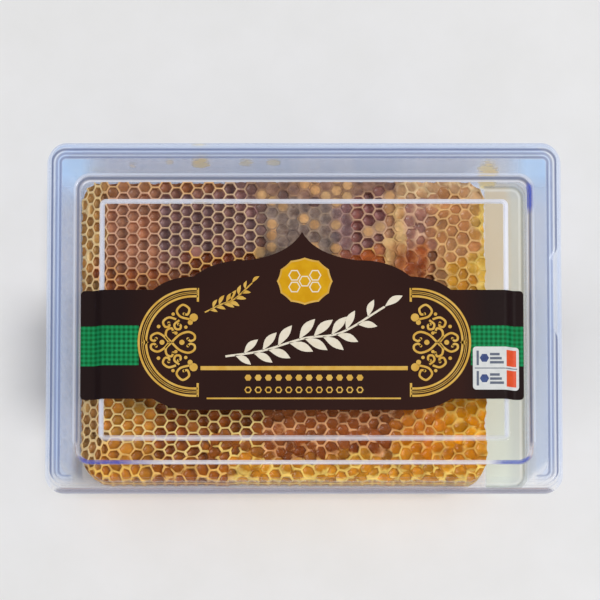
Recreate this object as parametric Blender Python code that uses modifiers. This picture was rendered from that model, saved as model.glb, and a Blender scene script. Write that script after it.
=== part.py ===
"""Honeycomb piece in a shut clear box, with a printed label and a seal sticker on its lid.

Lengths are in millimetres and become metres where a mesh is made. X runs along the box, Y across it
towards the far side, and Z up from the underside of the box's floor.
"""

import math

import bmesh
import bpy
from mathutils import Matrix, Vector, noise

MM = 0.001
GAP = 0.3  # between pieces that touch

# Box
LID_LENGTH = 224.0
LID_DEPTH = 155.0
BOX_HEIGHT = 50.0
WALL = 1.2
CORNER_STEPS = 6

# Lid
SKIRT_HEIGHT = 10.0
SKIRT_TAPER = 1.1
SHOULDER_RADIUS = 1.5
LID_CORNER = 8.5
CORNER_SHRINK = 0.7  # share of an inset by which a corner's radius shrinks
RECESS_HALF = (98.3, 62.9)
RECESS_Y = -2.2  # the recess and the platform lie a little nearer than the lid's middle
RECESS_DROP = 4.4
RECESS_CORNER = 5.5
RECESS_DRAFT = 1.2
RECESS_ROUND = 0.6
PLATFORM_HALF = (88.9, 53.6)
PLATFORM_Y = -1.7
PLATFORM_RISE = 2.6
PLATFORM_BEVEL = 1.6
PLATFORM_CORNER = 2.8
SCOOP_SPAN = (-11.2, 30.3)  # thumb scoop in the right shoulder, along Y
SCOOP_RAMP = 6.5
SCOOP_DEPTH = 2.9

# Base
FLOOR_HALF = (98.2, 69.2)
FLOOR_CORNER = 7.0
FLOOR_FILLET = 3.2
BASE_TOP_HALF = (106.4, 72.9)
BASE_TOP_CORNER = 8.0
FLANGE = 1.8
LIP = 0.5
LIP_DROP = 2.4

# Comb
COMB_LEFT = -98.8
COMB_RIGHT = 80.6
COMB_NEAR = -69.9
COMB_FAR = 65.2
COMB_DRAFT = 3.2
COMB_FOOT = ((-1.6, 0.0), (0.6, 3.0))  # growth and rise of the sides' two lowest levels
CUT_HEADROOM = 8.0  # of the block above the comb's top face
COMB_CORNERS = (6.5, 6.5, 6.5, 13.0)  # near right, far right, far left and near left
COMB_TOP = 26.5
COMB_EDGE_STEPS = 9
CUT_REACH = (0.45, 1.3)  # how far a cut side strays, and the ragged right side
RAGGED_WIDTH = 12.0
CELL_PITCH = 5.2
CELL_COLUMN = 4.67
LATTICE_SHIFT = (0.05, -0.4)
LATTICE_PIVOT = (-84.0, 49.8)
LATTICE_TURN = math.radians(-1.1)
SQUEEZE_X = -86.0  # left of it the cells are narrower
SQUEEZE = 0.62
WARP_REACH = (0.25, 2.0)  # how far walls stray in regular and in untidy comb
SLANT_REACH = 1.3
SWELL_RISE = 0.9
LUMP_RISE = 0.8
CELL_RIM = 0.5
CELL_DEPTH = 3.2
CAP_RISE = 0.45
HONEY_SINK = 0.9
ROLL_LEFT = (9.5, 8.0)  # width and drop of the rounded left edge
ROLL_NEAR = (9.0, 3.5)
RIDGE_X = 43.0  # torn wax ridge on the top face
RIDGE_WIDTH = 3.2
RIDGE_RISE = 1.6
RIDGE_NEAR_Y = 20.8
CELL_AREAS = (  # left, right, near, far and what most cells there are; earlier rows go first
    (-110.0, -22.0, -42.0, 80.0, "open"),
    (-22.0, 20.0, 20.0, 80.0, "capped"),
    (20.0, 40.0, 20.0, 80.0, "open"),
    (-110.0, -8.0, -60.0, -42.0, "open"),
    (-110.0, 110.0, -80.0, 80.0, "full"),
)
LABEL_SHADE = (4.0, 8.0)  # margin of the comb hidden by the label, and how much it bulges midway
LABEL_SHADE_Y = -2.0
LABEL_SHADE_ENDS = (20.0, 60.0)

# Noise of the comb, each as its size and its layer
COMB_SEED = Vector((3.7, 1.9, 8.3))
WARP_X_NOISE = (9.0, 1.0)
WARP_Y_NOISE = (9.0, 2.0)
SWELL_NOISE = (26.0, 3.0)
LUMP_NOISE = (6.0, 4.0)
SLANT_NOISE = (30.0, 5.0)
STATE_NOISE = {"capped": ((5.0, 6.0), -0.15), "full": ((7.0, 7.0), -0.1)}  # with the least value
CUT_NOISE = (8.0, 10.0)
CUT_TOP_LAYER = 0.4

# Label and seal sticker
SHEET = 0.3
LABEL_X = -0.85
LABEL_Y = -13.1
LABEL_HALF_LENGTH = 96.05
LABEL_HALF_WIDTH = 24.1
LABEL_CORNER = 1.8
LABEL_PEAK = 49.9
LABEL_DIP = (24.0, 37.2)
LABEL_BROW = (47.2, 29.9)
LABEL_SHOULDER = 64.6
LABEL_BELLY = (48.1, -29.0)
LABEL_PULLS = ((5.5, 39.5), (38.0, 37.5), (57.5, 30.0), (57.0, -29.0))  # of the four bows
LABEL_ARC_STEPS = 4
LABEL_BEND = (87.3, 91.0)
SEAL_CENTRE = (83.1, -23.7)
SEAL_HALF = (10.0, 9.5)
SEAL_CORNER = 1.5


def remove_everything():
    for thing in list(bpy.data.objects):
        bpy.data.objects.remove(thing, do_unlink=True)


def new_collection(name):
    collection = bpy.data.collections.new(name)
    bpy.context.scene.collection.children.link(collection)
    return collection


def principled(name, colour, roughness, metallic=0.0, alpha=1.0):
    material = bpy.data.materials.new(name)
    material.use_nodes = True
    shader = material.node_tree.nodes["Principled BSDF"]
    shader.inputs["Base Color"].default_value = (*colour, 1.0)
    shader.inputs["Roughness"].default_value = roughness
    shader.inputs["Metallic"].default_value = metallic
    shader.inputs["Alpha"].default_value = alpha
    material.diffuse_color = (*colour, alpha)
    return material


def object_from(bm, name, collection, material=None):
    """Turns a bmesh in millimetres into a named object in metres."""
    bmesh.ops.scale(bm, vec=(MM, MM, MM), verts=bm.verts)
    mesh = bpy.data.meshes.new(name)
    bm.to_mesh(mesh)
    bm.free()
    thing = bpy.data.objects.new(name, mesh)
    collection.objects.link(thing)
    if material:
        mesh.materials.append(material)
    return thing


def add_thickness(thing, thickness, offset):
    shell = thing.modifiers.new("Thickness", "SOLIDIFY")
    shell.thickness = thickness * MM
    shell.offset = offset
    shell.use_even_offset = True
    shell.use_quality_normals = True


def shade_by_angle(thing, degrees):
    thing.data.shade_smooth()
    thing.data.set_sharp_from_angle(angle=math.radians(degrees))


def rounded_outline(half_x, half_y, radii, side_points=(), scoop=0.0):
    """Corners as arcs, anticlockwise from the lower right corner, with one radius or four. side_points
    adds (y, share) points up the right side, each moved inwards by its share of scoop."""
    points = []
    corners = ((1, -1, 270), (1, 1, 0), (-1, 1, 90), (-1, -1, 180))
    if not isinstance(radii, tuple):
        radii = (radii,) * 4
    for index, (sign_x, sign_y, start) in enumerate(corners):
        radius = radii[index]
        centre_x = sign_x * (half_x - radius)
        centre_y = sign_y * (half_y - radius)
        for step in range(CORNER_STEPS + 1):
            angle = math.radians(start + 90 * step / CORNER_STEPS)
            points.append((centre_x + radius * math.cos(angle), centre_y + radius * math.sin(angle)))
        if index == 0:
            points += [(half_x - share * scoop, y) for y, share in side_points]
    return points


def loft(bm, sections):
    """Joins sections of equal length, each a list of (x, y) with its z, and returns the vertex rings."""
    rings = [[bm.verts.new((x, y, z)) for x, y in outline] for outline, z in sections]
    for lower, upper in zip(rings, rings[1:]):
        for index in range(len(lower)):
            after = (index + 1) % len(lower)
            bm.faces.new((lower[index], lower[after], upper[after], upper[index]))
    return rings


def quarter_round(radius, steps=2):
    """Insets and drops of a rounded edge, from its upright side to its flat top."""
    angles = [math.radians(90 * step / steps) for step in range(steps + 1)]
    return [(radius * (1 - math.cos(angle)), radius * (1 - math.sin(angle))) for angle in angles]


def make_lid(collection, material):
    recess_z = BOX_HEIGHT - RECESS_DROP
    hem = (LID_LENGTH / 2, LID_DEPTH / 2)
    low, high = SCOOP_SPAN
    side = ((low, 0.0), (low + SCOOP_RAMP, 1.0), (high - SCOOP_RAMP, 1.0), (high, 0.0))
    shoulder = [(SKIRT_TAPER + inset, drop) for inset, drop in quarter_round(SHOULDER_RADIUS)]
    wall = ((-RECESS_ROUND, 0.0), (0.0, RECESS_ROUND), (RECESS_DRAFT, RECESS_DROP))
    steps = [(hem, LID_CORNER, 0.0, 0.0, BOX_HEIGHT - SKIRT_HEIGHT, 0.0)]
    for (inset, drop), scoop in zip(shoulder, (0.0, 0.3, 1.0)):
        steps.append((hem, LID_CORNER, 0.0, inset, BOX_HEIGHT - drop, scoop))
    for inset, drop in wall:
        steps.append((RECESS_HALF, RECESS_CORNER, RECESS_Y, inset, BOX_HEIGHT - drop, 0.0))
    for inset, rise in ((0.0, 0.0), (PLATFORM_BEVEL, PLATFORM_RISE)):
        steps.append((PLATFORM_HALF, PLATFORM_CORNER, PLATFORM_Y, inset, recess_z + rise, 0.0))
    sections = []
    for half, corner, middle_y, inset, z, scoop in steps:
        outline = rounded_outline(
            half[0] - inset, half[1] - inset, corner - CORNER_SHRINK * inset, side, scoop * SCOOP_DEPTH
        )
        sections.append(([(x, y + middle_y) for x, y in outline], z))
    bm = bmesh.new()
    rings = loft(bm, sections)
    bm.faces.new(rings[-1])
    lid = object_from(bm, "box_lid", collection, material)
    add_thickness(lid, WALL, -1.0)
    shade_by_angle(lid, 35)
    return lid


def make_base(collection, material):
    top_z = BOX_HEIGHT - WALL - GAP
    rows = [
        (BASE_TOP_HALF, BASE_TOP_CORNER, -FLANGE, top_z - LIP_DROP),
        (BASE_TOP_HALF, BASE_TOP_CORNER, -FLANGE, top_z - LIP),
        (BASE_TOP_HALF, BASE_TOP_CORNER, LIP - FLANGE, top_z),
        (BASE_TOP_HALF, BASE_TOP_CORNER, WALL, top_z),
    ]
    for inset, rise in quarter_round(FLOOR_FILLET):
        rows.append((FLOOR_HALF, FLOOR_CORNER, WALL + inset, WALL + rise))
    sections = []
    for half, corner, inset, z in rows:
        outline = rounded_outline(half[0] - inset, half[1] - inset, corner - CORNER_SHRINK * inset)
        sections.append((outline, z))
    bm = bmesh.new()
    rings = loft(bm, sections)
    bm.faces.new(rings[-1])
    base = object_from(bm, "box_base", collection, material)
    add_thickness(base, WALL, -1.0)
    shade_by_angle(base, 35)
    return base


def ease(value, low, high):
    """0 at low and 1 at high, with level ends."""
    share = min(max((value - low) / (high - low), 0.0), 1.0)
    return share * share * (3 - 2 * share)


def waver(x, y, kind):
    """Smooth seeded noise between about -1 and 1."""
    scale, layer = kind
    return noise.noise(Vector((x / scale, y / scale, layer)) + COMB_SEED)


def untidiness(x, y):
    """0 where the cells are regular, 1 in the torn and crushed comb at the right and the near edge."""
    return max(ease(x, 8.0, 46.0), ease(-y, 42.0, 56.0))


def on_lattice(column, row):
    """The place of a lattice point, whose column and row count cells."""
    pivot_x, pivot_y = LATTICE_PIVOT
    x = column * CELL_COLUMN + LATTICE_SHIFT[0] - pivot_x
    y = row * CELL_PITCH + LATTICE_SHIFT[1] - pivot_y
    cos = math.cos(LATTICE_TURN)
    sin = math.sin(LATTICE_TURN)
    return pivot_x + x * cos - y * sin, pivot_y + x * sin + y * cos


def warp(x, y):
    """Moves a point of the regular lattice to where the real cell wall runs."""
    x = max(x, SQUEEZE_X) + SQUEEZE * min(x - SQUEEZE_X, 0.0)
    tidy, untidy = WARP_REACH
    reach = tidy + (untidy - tidy) * untidiness(x, y)
    slant = SLANT_REACH * ease(-y, 40.0, 60.0) * waver(x, y, SLANT_NOISE)
    shift_x = reach * waver(x, y, WARP_X_NOISE) + slant
    shift_y = reach * waver(x, y, WARP_Y_NOISE)
    return x + shift_x, y + shift_y


def comb_height(x, y):
    """Height of the comb's top face, before its cells are sunk."""
    level = COMB_TOP + SWELL_RISE * waver(x, y, SWELL_NOISE)
    level += untidiness(x, y) * LUMP_RISE * waver(x, y, LUMP_NOISE)
    width, drop = ROLL_LEFT
    level -= drop * min(max((COMB_LEFT + width - x) / width, 0.0), 1.2) ** 2
    width, drop = ROLL_NEAR
    level -= drop * min(max((COMB_NEAR + width - y) / width, 0.0), 1.2) ** 2
    ridge = math.exp(-(((x - RIDGE_X) / RIDGE_WIDTH) ** 2))
    return level + RIDGE_RISE * ridge * ease(y, RIDGE_NEAR_Y - 4.0, RIDGE_NEAR_Y + 4.0)


def under_label(x, y):
    """Whether the label hides the cell round (x, y), which then is a plain dimple."""
    margin, bulge = LABEL_SHADE
    start, end = LABEL_SHADE_ENDS
    reach = LABEL_HALF_WIDTH + margin + bulge * ease(-abs(x), -end, -start)
    return abs(y - LABEL_Y - LABEL_SHADE_Y) < reach


def cell_state(x, y):
    """Whether the cell round (x, y) is open, full of honey or capped with wax."""
    for left, right, near, far, state in CELL_AREAS:
        if left <= x < right and near < y < far:
            break
    if state == "open":
        return state
    kind, least = STATE_NOISE[state]
    return state if waver(x, y, kind) > least else "open"


def make_cell_sheet(collection):
    """The comb's top face of six-sided cells, wider than the comb, closed below into a solid.
    The cells start as regular hexagons of unit height, in columns, and are then put in place."""
    bm = bmesh.new()
    column = math.sqrt(3) / 2
    across = Matrix.Rotation(math.radians(90), 4, "Z")
    columns = range(math.floor(COMB_LEFT / CELL_COLUMN) - 2, math.ceil(COMB_RIGHT / CELL_COLUMN) + 3)
    rows = range(math.floor(COMB_NEAR / CELL_PITCH) - 2, math.ceil(COMB_FAR / CELL_PITCH) + 4)
    for i in columns:
        for j in rows:
            centre = Matrix.Translation((i * column, j + 0.5 * ((i + 1) % 2), 0.0))
            bmesh.ops.create_circle(
                bm, cap_ends=True, segments=6, radius=1 / math.sqrt(3), matrix=centre @ across
            )
    bmesh.ops.remove_doubles(bm, verts=bm.verts, dist=0.01)
    for vert in bm.verts:
        x, y = warp(*on_lattice(vert.co.x / column, vert.co.y))
        vert.co = (x, y, comb_height(x, y))
    bmesh.ops.recalc_face_normals(bm, faces=bm.faces)
    if sum(face.normal.z for face in bm.faces) < 0:
        bmesh.ops.reverse_faces(bm, faces=bm.faces)

    deep = []
    shallow = {"open": [], "full": [], "capped": []}
    for face in bm.faces:
        centre = face.calc_center_median()
        state = cell_state(centre.x, centre.y)
        if state == "open" and not under_label(centre.x, centre.y):
            deep.append(face)
        else:
            shallow[state].append(face)
    bmesh.ops.inset_individual(
        bm, faces=deep, thickness=CELL_RIM, depth=-CELL_DEPTH, use_even_offset=True
    )
    for state, rise in (("open", -CELL_DEPTH), ("full", -HONEY_SINK), ("capped", CAP_RISE)):
        bmesh.ops.poke(bm, faces=shallow[state], offset=rise)

    edge = [e for e in bm.edges if e.is_boundary]
    skirt = bmesh.ops.extrude_edge_only(bm, edges=edge)["geom"]
    for vert in (v for v in skirt if isinstance(v, bmesh.types.BMVert)):
        vert.co.z = -2.0
    bmesh.ops.holes_fill(bm, edges=[e for e in bm.edges if e.is_boundary], sides=0)
    bmesh.ops.recalc_face_normals(bm, faces=bm.faces)
    return object_from(bm, "cell_sheet", collection)


def comb_outline(grow, layer):
    """The cut block's outline, anticlockwise, with sides that stray as a knife's cut does."""
    half_x = (COMB_RIGHT - COMB_LEFT) / 2 - COMB_DRAFT + grow
    half_y = (COMB_FAR - COMB_NEAR) / 2 - COMB_DRAFT + grow
    centre_x = (COMB_RIGHT + COMB_LEFT) / 2
    centre_y = (COMB_FAR + COMB_NEAR) / 2
    corners = rounded_outline(half_x, half_y, COMB_CORNERS)
    straight, ragged = CUT_REACH
    scale, first_layer = CUT_NOISE
    points = []
    for index, (x, y) in enumerate(corners):
        after_x, after_y = corners[(index + 1) % len(corners)]
        steps = COMB_EDGE_STEPS if math.hypot(after_x - x, after_y - y) > 20.0 else 1
        for step in range(steps):
            share = step / steps
            points.append((x + share * (after_x - x), y + share * (after_y - y)))
    wavy = []
    for x, y in points:
        reach = ragged if x > half_x - RAGGED_WIDTH else straight
        push = 1.0 + reach * (waver(x, y, (scale, first_layer + layer)) - 0.5) / math.hypot(x, y)
        wavy.append((centre_x + x * push, centre_y + y * push))
    return wavy


def make_comb(collection, cutters, material):
    """The cell sheet cut to the block that lies in the box."""
    bm = bmesh.new()
    floor_z = WALL + GAP
    sections = [(comb_outline(grow, 0.0), floor_z + rise) for grow, rise in COMB_FOOT]
    sections.append((comb_outline(COMB_DRAFT, CUT_TOP_LAYER), COMB_TOP + CUT_HEADROOM))
    rings = loft(bm, sections)
    bm.faces.new(rings[-1])
    bm.faces.new(list(reversed(rings[0])))
    comb = object_from(bm, "honeycomb", collection, material)
    sheet = make_cell_sheet(cutters)
    sheet.hide_render = True
    sheet.display_type = "WIRE"
    cut = comb.modifiers.new("Cells", "BOOLEAN")
    cut.operation = "INTERSECT"
    cut.solver = "MANIFOLD"
    cut.object = sheet
    return comb


def arc_to(start, control, end):
    """Points of a bowed stretch, after its start."""
    points = []
    for step in range(1, LABEL_ARC_STEPS + 1):
        t = step / LABEL_ARC_STEPS
        points.append(
            tuple((1 - t) ** 2 * a + 2 * t * (1 - t) * b + t * t * c for a, b, c in zip(start, control, end))
        )
    return points


def label_outline():
    """The label's edge: from its peak three bows fall to each straight end, and a belly hangs below."""
    peak = (0.0, LABEL_PEAK)
    shoulder = (LABEL_SHOULDER, LABEL_HALF_WIDTH)
    heel = (LABEL_SHOULDER, -LABEL_HALF_WIDTH)
    first_pull, second_pull, third_pull, belly_pull = LABEL_PULLS
    right = [peak]
    right += arc_to(peak, first_pull, LABEL_DIP)
    right += arc_to(LABEL_DIP, second_pull, LABEL_BROW)
    right += arc_to(LABEL_BROW, third_pull, shoulder)
    r = LABEL_CORNER
    corner_x = LABEL_HALF_LENGTH - r
    corner_y = LABEL_HALF_WIDTH - r
    angles = [math.radians(90 * step / LABEL_ARC_STEPS) for step in range(LABEL_ARC_STEPS + 1)]
    corner = [(corner_x + r * math.sin(angle), corner_y + r * math.cos(angle)) for angle in angles]
    right += corner + [(x, -y) for x, y in reversed(corner)] + [heel]
    right += arc_to(heel, belly_pull, LABEL_BELLY)
    left = [(-x, y) for x, y in reversed(right) if x > 0.0]
    return [(LABEL_X + x, LABEL_Y + y) for x, y in right + left]


def sheet_height(x):
    """Height of the lid's face under a stuck sheet, which bridges the platform's edge."""
    top = BOX_HEIGHT - RECESS_DROP + PLATFORM_RISE
    near_edge, far_edge = LABEL_BEND
    share = min(max((abs(x) - near_edge) / (far_edge - near_edge), 0.0), 1.0)
    return top - share * PLATFORM_RISE


def make_sheet(name, outline, lift, collection, material):
    """A thin sheet stuck on the lid, bent down past the platform's two ends."""
    bm = bmesh.new()
    bm.faces.new([bm.verts.new((x, y, 0.0)) for x, y in outline])
    for bend in LABEL_BEND:
        for side in (-1, 1):
            geometry = bm.verts[:] + bm.edges[:] + bm.faces[:]
            bmesh.ops.bisect_plane(
                bm, geom=geometry, plane_co=(side * bend, 0.0, 0.0), plane_no=(1.0, 0.0, 0.0)
            )
    bmesh.ops.recalc_face_normals(bm, faces=bm.faces)
    if sum(face.normal.z for face in bm.faces) < 0:
        bmesh.ops.reverse_faces(bm, faces=bm.faces)
    for vert in bm.verts:
        vert.co.z = sheet_height(vert.co.x) + lift
    sheet = object_from(bm, name, collection, material)
    add_thickness(sheet, SHEET, 1.0)
    return sheet


def make_label(collection, material):
    outline = list(reversed(label_outline()))
    return make_sheet("label", outline, GAP, collection, material)


def make_seal(collection, material):
    centre_x, centre_y = SEAL_CENTRE
    corners = rounded_outline(SEAL_HALF[0], SEAL_HALF[1], SEAL_CORNER)
    outline = [(centre_x + x, centre_y + y) for x, y in corners]
    return make_sheet("seal_sticker", outline, 2 * GAP + SHEET, collection, material)


def main():
    remove_everything()
    parts = new_collection("honeycomb piece in clear box")
    cutters = new_collection("cutters")
    clear = principled("clear_plastic", (0.80, 0.85, 0.92), 0.08, alpha=0.35)
    comb = principled("comb_wax_and_honey", (0.55, 0.33, 0.12), 0.45)
    paper = principled("label_print", (0.045, 0.022, 0.018), 0.4)
    seal = principled("seal_paper", (0.85, 0.86, 0.88), 0.5)
    make_base(parts, clear)
    make_lid(parts, clear)
    make_comb(parts, cutters, comb)
    make_label(parts, paper)
    make_seal(parts, seal)


main()
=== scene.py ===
import math
import random
from functools import partialmethod

import bmesh
import bpy
import numpy as np
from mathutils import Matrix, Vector, noise
from mathutils.kdtree import KDTree


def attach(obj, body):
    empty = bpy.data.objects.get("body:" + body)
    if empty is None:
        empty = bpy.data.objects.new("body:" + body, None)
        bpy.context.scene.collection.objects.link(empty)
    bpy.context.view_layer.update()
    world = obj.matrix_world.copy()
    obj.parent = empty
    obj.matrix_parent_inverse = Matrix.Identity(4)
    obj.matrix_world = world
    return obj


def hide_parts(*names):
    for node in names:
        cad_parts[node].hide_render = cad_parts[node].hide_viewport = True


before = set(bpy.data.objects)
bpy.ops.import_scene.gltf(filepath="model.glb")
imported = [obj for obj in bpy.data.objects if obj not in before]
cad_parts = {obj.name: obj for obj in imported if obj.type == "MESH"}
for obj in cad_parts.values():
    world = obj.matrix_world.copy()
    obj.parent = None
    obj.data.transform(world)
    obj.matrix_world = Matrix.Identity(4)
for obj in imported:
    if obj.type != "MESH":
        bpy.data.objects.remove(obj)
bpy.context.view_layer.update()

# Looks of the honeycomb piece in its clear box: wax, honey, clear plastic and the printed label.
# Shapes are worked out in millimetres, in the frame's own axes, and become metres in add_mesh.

MM = 0.001

# Box, as in the solids. Outlines are half sizes, corner radius and middle y.
BOX_HEIGHT = 50.0
HEM = ((112.0, 77.5), 8.5, 0.0)
RECESS = ((98.3, 62.9), 5.5, -2.2)
PLATFORM = ((88.9, 53.6), 2.8, -1.7)
BASE_TOP = ((106.4, 72.9), 8.0, 0.0)
FLOOR = ((98.2, 69.2), 7.0, 0.0)
WALL = 1.2
GAP = 0.3
CORNER_STEPS = 14
FILLET_STEPS = 4
SKIRT_HEIGHT = 10.0
SKIRT_TAPER = 1.1
SHOULDER_RADIUS = 1.5
CORNER_SHRINK = 0.7
RECESS_DROP = 4.4
RECESS_DRAFT = 1.2
PLATFORM_RISE = 2.6
PLATFORM_BEVEL = 1.6
SCOOP_SPAN = (-11.2, 30.3)
SCOOP_RAMP = 6.5
SCOOP_DEPTH = 2.9
SCOOP_STEPS = 6
FLOOR_FILLET = 3.2
FLANGE = 1.8
LIP_DROP = 2.4

# Comb, as in the solids
COMB_LEFT, COMB_RIGHT, COMB_NEAR, COMB_FAR = -98.8, 80.6, -69.9, 65.2
COMB_DRAFT = 3.2
COMB_CORNERS = (6.5, 6.5, 6.5, 13.0)  # near right, far right, far left and near left
COMB_TOP = 26.5
COMB_SEED = Vector((3.7, 1.9, 8.3))
CELL_PITCH = 5.2
CELL_COLUMN = 4.67
LATTICE_SHIFT = (0.05, -0.4)
LATTICE_PIVOT = (-84.0, 49.8)
LATTICE_TURN = math.radians(-1.1)
SQUEEZE_X, SQUEEZE = -86.0, 0.62
ROLL_LEFT = (9.5, 8.0)
ROLL_NEAR = (9.0, 3.5)
RIDGE_X, RIDGE_WIDTH, RIDGE_RISE, RIDGE_NEAR_Y = 43.0, 3.2, 1.6, 20.8

# Comb detail that only the looks have
RIM = 0.34  # half the thickness of a wall's rounded top
RING_POINTS = 12
EDGE_PITCH = 0.7  # step along the cut sides
EDGE_GROW = 0.8
MIDRIB_Z = (12.8, 14.6)
CHANNEL_DEPTH = 0.8

# Label and seal, as in the solids
SHEET = 0.12
LABEL_X, LABEL_Y = -0.85, -13.1
LABEL_HALF_LENGTH, LABEL_HALF_WIDTH = 96.05, 24.1
LABEL_CORNER = 1.8
LABEL_BEND = (87.3, 91.0)
BEND_STEP = 0.7
SEAL_CENTRE = (83.1, -23.7)
SEAL_HALF = (10.0, 9.5)
SEAL_CORNER = 1.5
STUCK = 0.06  # gap under each stuck sheet or layer of print
PRINT_DEPTH = 0.03
CHECK_PITCH = 2.04  # of the green bands' weave

# View: the photo is taken from above, tipped towards the near side
VIEW_TILT = 12.0
VIEW_DISTANCE = 3.2
PHOTO_SIZE = 600
PHOTO_SCALE = 2.308  # pixels to a millimetre on the lid
PHOTO_LID_MIDDLE = (304.0, 313.8)


def linear(screen_values):
    """Screen values, 0 to 255, as the linear ones that shaders take."""
    values = np.array(screen_values) / 255.0
    return np.where(values <= 0.04045, values / 12.92, ((values + 0.055) / 1.055) ** 2.4)


def add_object(name, data):
    thing = bpy.data.objects.new(name, data)
    bpy.context.scene.collection.objects.link(thing)
    return thing


def add_mesh(name, verts, faces, material=None):
    mesh = bpy.data.meshes.new(name)
    mesh.from_pydata([tuple(MM * c for c in v) for v in verts], [], faces)
    mesh.validate()
    if material:
        mesh.materials.append(material)
    mesh.shade_smooth()
    return add_object(name, mesh)


def wall_faces(levels, count):
    """Faces between closed rows of count points, one row above the other."""
    faces = []
    for low in range(0, (levels - 1) * count, count):
        for index in range(count):
            after = (index + 1) % count
            faces.append((low + index, low + after, low + count + after, low + count + index))
    return faces


def modify(thing, kind, **values):
    modifier = thing.modifiers.new(kind.title(), kind)
    for key, value in values.items():
        setattr(modifier, key, value)


def applied(thing, name, sharp):
    """Replaces an object by a smooth mesh of what its modifiers make. sharp is in degrees."""
    graph = bpy.context.evaluated_depsgraph_get()
    graph.update()
    mesh = bpy.data.meshes.new_from_object(thing.evaluated_get(graph))
    plain = add_object(name, mesh)
    bpy.data.objects.remove(thing, do_unlink=True)
    plain.name = name
    mesh.shade_smooth()
    mesh.set_sharp_from_angle(angle=math.radians(sharp))
    return plain


def belongs(piece, slot, *nodes):
    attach(piece, "root")
    if nodes:
        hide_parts(*nodes)


# Materials


class Number:
    """A number that nodes work out. Sums on it add more nodes, and | takes the larger of two."""

    def __init__(self, shader, socket):
        self.shader, self.socket = shader, socket

    def maths(self, operation, other=0.0):
        return self.shader.maths(operation, self, other)

    __add__ = partialmethod(maths, "ADD")
    __sub__ = partialmethod(maths, "SUBTRACT")
    __mul__ = partialmethod(maths, "MULTIPLY")
    __truediv__ = partialmethod(maths, "DIVIDE")
    __pow__ = partialmethod(maths, "POWER")
    __or__ = partialmethod(maths, "MAXIMUM")
    __abs__ = partialmethod(maths, "ABSOLUTE")
    sine = partialmethod(maths, "SINE")

    def __rsub__(self, other):
        return self.shader.maths("SUBTRACT", other, self)

    def ramp(self, low, high, to_low=0.0, to_high=1.0):
        """Runs evenly from to_low at low to to_high at high, and no further."""
        made = self.shader.node(
            "ShaderNodeMapRange", **{"From Min": low, "From Max": high, "To Min": to_low, "To Max": to_high}
        )
        self.shader.link(self, made.inputs["Value"])
        return Number(self.shader, made.outputs["Result"])

    def fade(self, to_high):
        """1 where the number is 0, to_high where it is 1."""
        return self.ramp(0.0, 1.0, 1.0, to_high)


class Shader:
    """A material whose nodes are added by short calls."""

    def __init__(self, name, **values):
        self.material = bpy.data.materials.new(name)
        self.material.use_nodes = True
        self.tree = self.material.node_tree
        self.bsdf = self.tree.nodes["Principled BSDF"]
        self.coordinates = self.node("ShaderNodeTexCoord").outputs["Object"]
        for key, value in values.items():
            self.bsdf.inputs[key.replace("_", " ")].default_value = value

    def node(self, kind, **values):
        made = self.tree.nodes.new(kind)
        for key, value in values.items():
            if key in made.inputs:
                made.inputs[key].default_value = value
            else:
                setattr(made, key, value)
        return made

    def link(self, source, target):
        self.tree.links.new(getattr(source, "socket", source), target)

    def feed(self, **values):
        """Links values to the surface's sockets."""
        for key, value in values.items():
            self.link(value, self.bsdf.inputs[key.replace("_", " ")])

    def place(self):
        """The point's x, y and z in millimetres."""
        split = self.node("ShaderNodeSeparateXYZ")
        self.link(self.coordinates, split.inputs["Vector"])
        return [Number(self, split.outputs[axis]) / MM for axis in "XYZ"]

    def noise(self, scale, detail=3.0, roughness=0.55, stretch=(1.0, 1.0, 1.0)):
        """Noise in object space. scale is in ripples per metre."""
        mapped = self.node("ShaderNodeMapping", Scale=stretch)
        self.link(self.coordinates, mapped.inputs["Vector"])
        made = self.node("ShaderNodeTexNoise", Scale=scale, Detail=detail, Roughness=roughness)
        self.link(mapped.outputs["Vector"], made.inputs["Vector"])
        return Number(self, made.outputs["Fac"])

    def blend(self, share, first, second, kind="MIX"):
        """Mixes two colours. Each is a tuple of screen values, 0 to 255, or a socket."""
        made = self.node("ShaderNodeMix", data_type="RGBA", blend_type=kind)
        self.link(share, made.inputs[0])
        for socket, colour in zip(made.inputs[6:8], (first, second)):
            if isinstance(colour, tuple):
                socket.default_value = (*linear(colour), 1.0)
            else:
                self.link(colour, socket)
        return made.outputs[2]

    def maths(self, operation, *values):
        made = self.node("ShaderNodeMath", operation=operation)
        for socket, value in zip(made.inputs, values):
            if isinstance(value, Number):
                self.link(value, socket)
            else:
                socket.default_value = value
        return Number(self, made.outputs["Value"])

    def mix(self, share, first, second):
        """Lays one surface's light over another's, by share."""
        made = self.node("ShaderNodeMixShader")
        for socket, source in zip(made.inputs, (share, first, second)):
            self.link(source, socket)
        return made.outputs["Shader"]

    def attribute(self, name, output="Fac"):
        return Number(self, self.node("ShaderNodeAttribute", attribute_name=name).outputs[output])

    def bump(self, height, strength, distance):
        made = self.node("ShaderNodeBump", Strength=strength, Distance=distance)
        self.link(height, made.inputs["Height"])
        self.link(made.outputs["Normal"], self.bsdf.inputs["Normal"])


# Painted lines of shade and highlight on the clear plastic: how far inside an outline each lies, half its
# width, and its share
RIM_OUTLINE = ((112.0, 76.6), 8.5, -0.9)
RIM_SHADE_LINES = ((2.6, 0.9, 0.85), (4.4, 0.8, 0.68), (6.1, 0.8, 0.76))
RIM_WIDTH = 7.3
RECESS_SHADE_LINE = (0.1, 0.95, 0.9)
RECESS_HIGHLIGHT_LINE = (-1.4, 0.8, 0.5)
FLOOR_SHADE_LINE = (1.8, 0.8, 0.5)
FLOOR_HIGHLIGHT_LINE = (3.2, 0.7, 0.45)
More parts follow.
